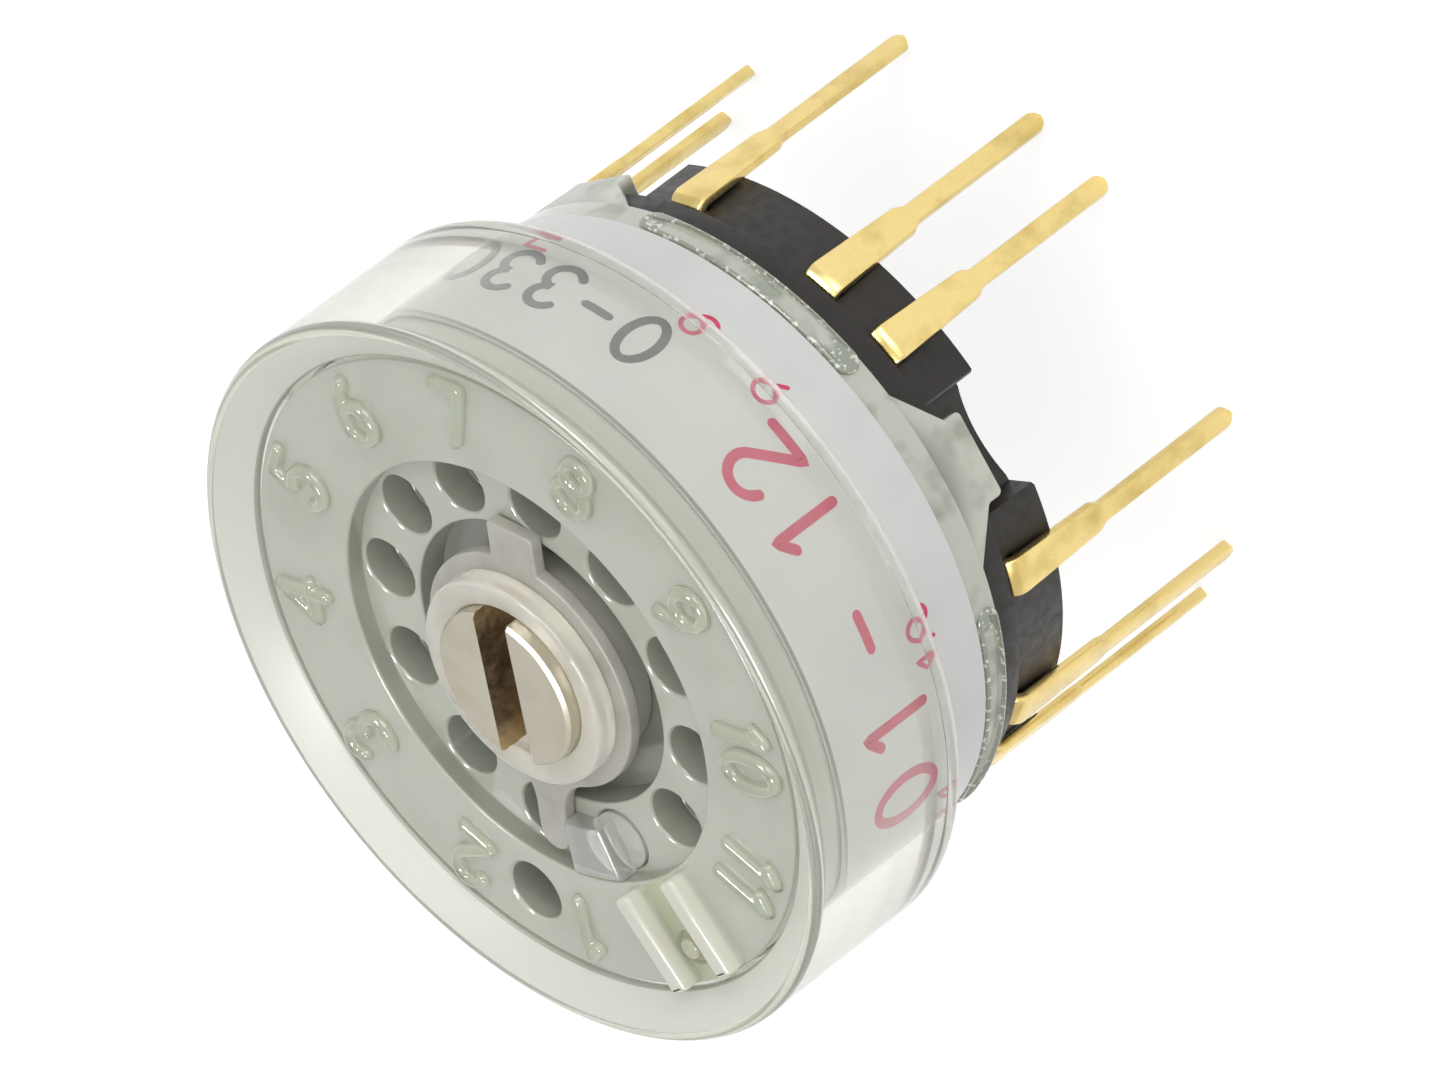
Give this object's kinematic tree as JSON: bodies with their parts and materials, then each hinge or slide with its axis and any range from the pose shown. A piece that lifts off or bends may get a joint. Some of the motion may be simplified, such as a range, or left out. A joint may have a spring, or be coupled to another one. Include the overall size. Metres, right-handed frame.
{
  "type": "rotary switch",
  "caption": "Small round clear-cased rotary switch for a printed circuit board, turned with a screwdriver, with gold-plated pins and an adjustable stop.",
  "frame": {"origin": "centre of the base's rear face, on the shaft's axis", "axes": "+Z out of the dial along the shaft, +Y towards the key bars at twelve o'clock, +X towards three o'clock seen from the front"},
  "size_m": [0.0168, 0.0168, 0.0142],
  "materials": {
    "clear_ring": "clear moulded, polished",
    "clear_case": "clear moulded, smoky, polished",
    "clear_pin": "clear moulded, polished",
    "printed_film": "thin printed film",
    "black_rubber": "moulded, smooth",
    "acetal": "moulded, natural",
    "black_resin": "moulded, satin",
    "gold_plate": "gold plated, satin",
    "potting_resin": "cast resin",
    "nickel_shaft": "turned, nickel plated, satin",
    "white_nylon": "moulded, translucent",
    "grey_resin": "moulded, satin",
    "rotor_resin": "moulded, satin",
    "spring_bronze": "rolled strip",
    "spring_steel": "drawn wire",
    "ball_steel": "ground and polished"
  },
  "bodies": {
    "housing": {"outer_ring": "clear_ring", "dial_case": "clear_case", "label_band": "printed_film", "case_gasket": "black_rubber", "shaft_seal": "black_rubber", "detent_ring": "acetal", "terminal_base": "black_resin", "common_terminal": "gold_plate", "rear_seal": "potting_resin", "stop_pin": "clear_pin", "terminal_01": "gold_plate", "terminal_02": "gold_plate", "terminal_03": "gold_plate", "terminal_04": "gold_plate", "terminal_05": "gold_plate", "terminal_06": "gold_plate", "terminal_07": "gold_plate", "terminal_08": "gold_plate", "terminal_09": "gold_plate", "terminal_10": "gold_plate", "terminal_11": "gold_plate", "terminal_12": "gold_plate"},
    "turning_group": {"shaft": "nickel_shaft", "shaft_collar": "white_nylon", "stop_plate": "grey_resin", "rotor": "rotor_resin", "contact_wiper": "spring_bronze", "detent_spring_a": "spring_steel", "detent_spring_b": "spring_steel"},
    "ball_a": {"detent_ball_a": "ball_steel"},
    "ball_b": {"detent_ball_b": "ball_steel"}
  },
  "joints": [
    {"name": "shaft_turn", "type": "hinge", "parent": "housing", "child": "turning_group", "pos_m": [0, 0, 0.005], "axis": [0, 0, -1], "range_deg": [0, 330]},
    {"name": "ball_a_travel", "type": "slide", "parent": "turning_group", "child": "ball_a", "axis": [-0.866, 0.5, 0], "range_m": [0, 0.00015]},
    {"name": "ball_b_travel", "type": "slide", "parent": "turning_group", "child": "ball_b", "axis": [0.866, -0.5, 0], "range_m": [0, 0.00015]}
  ]
}
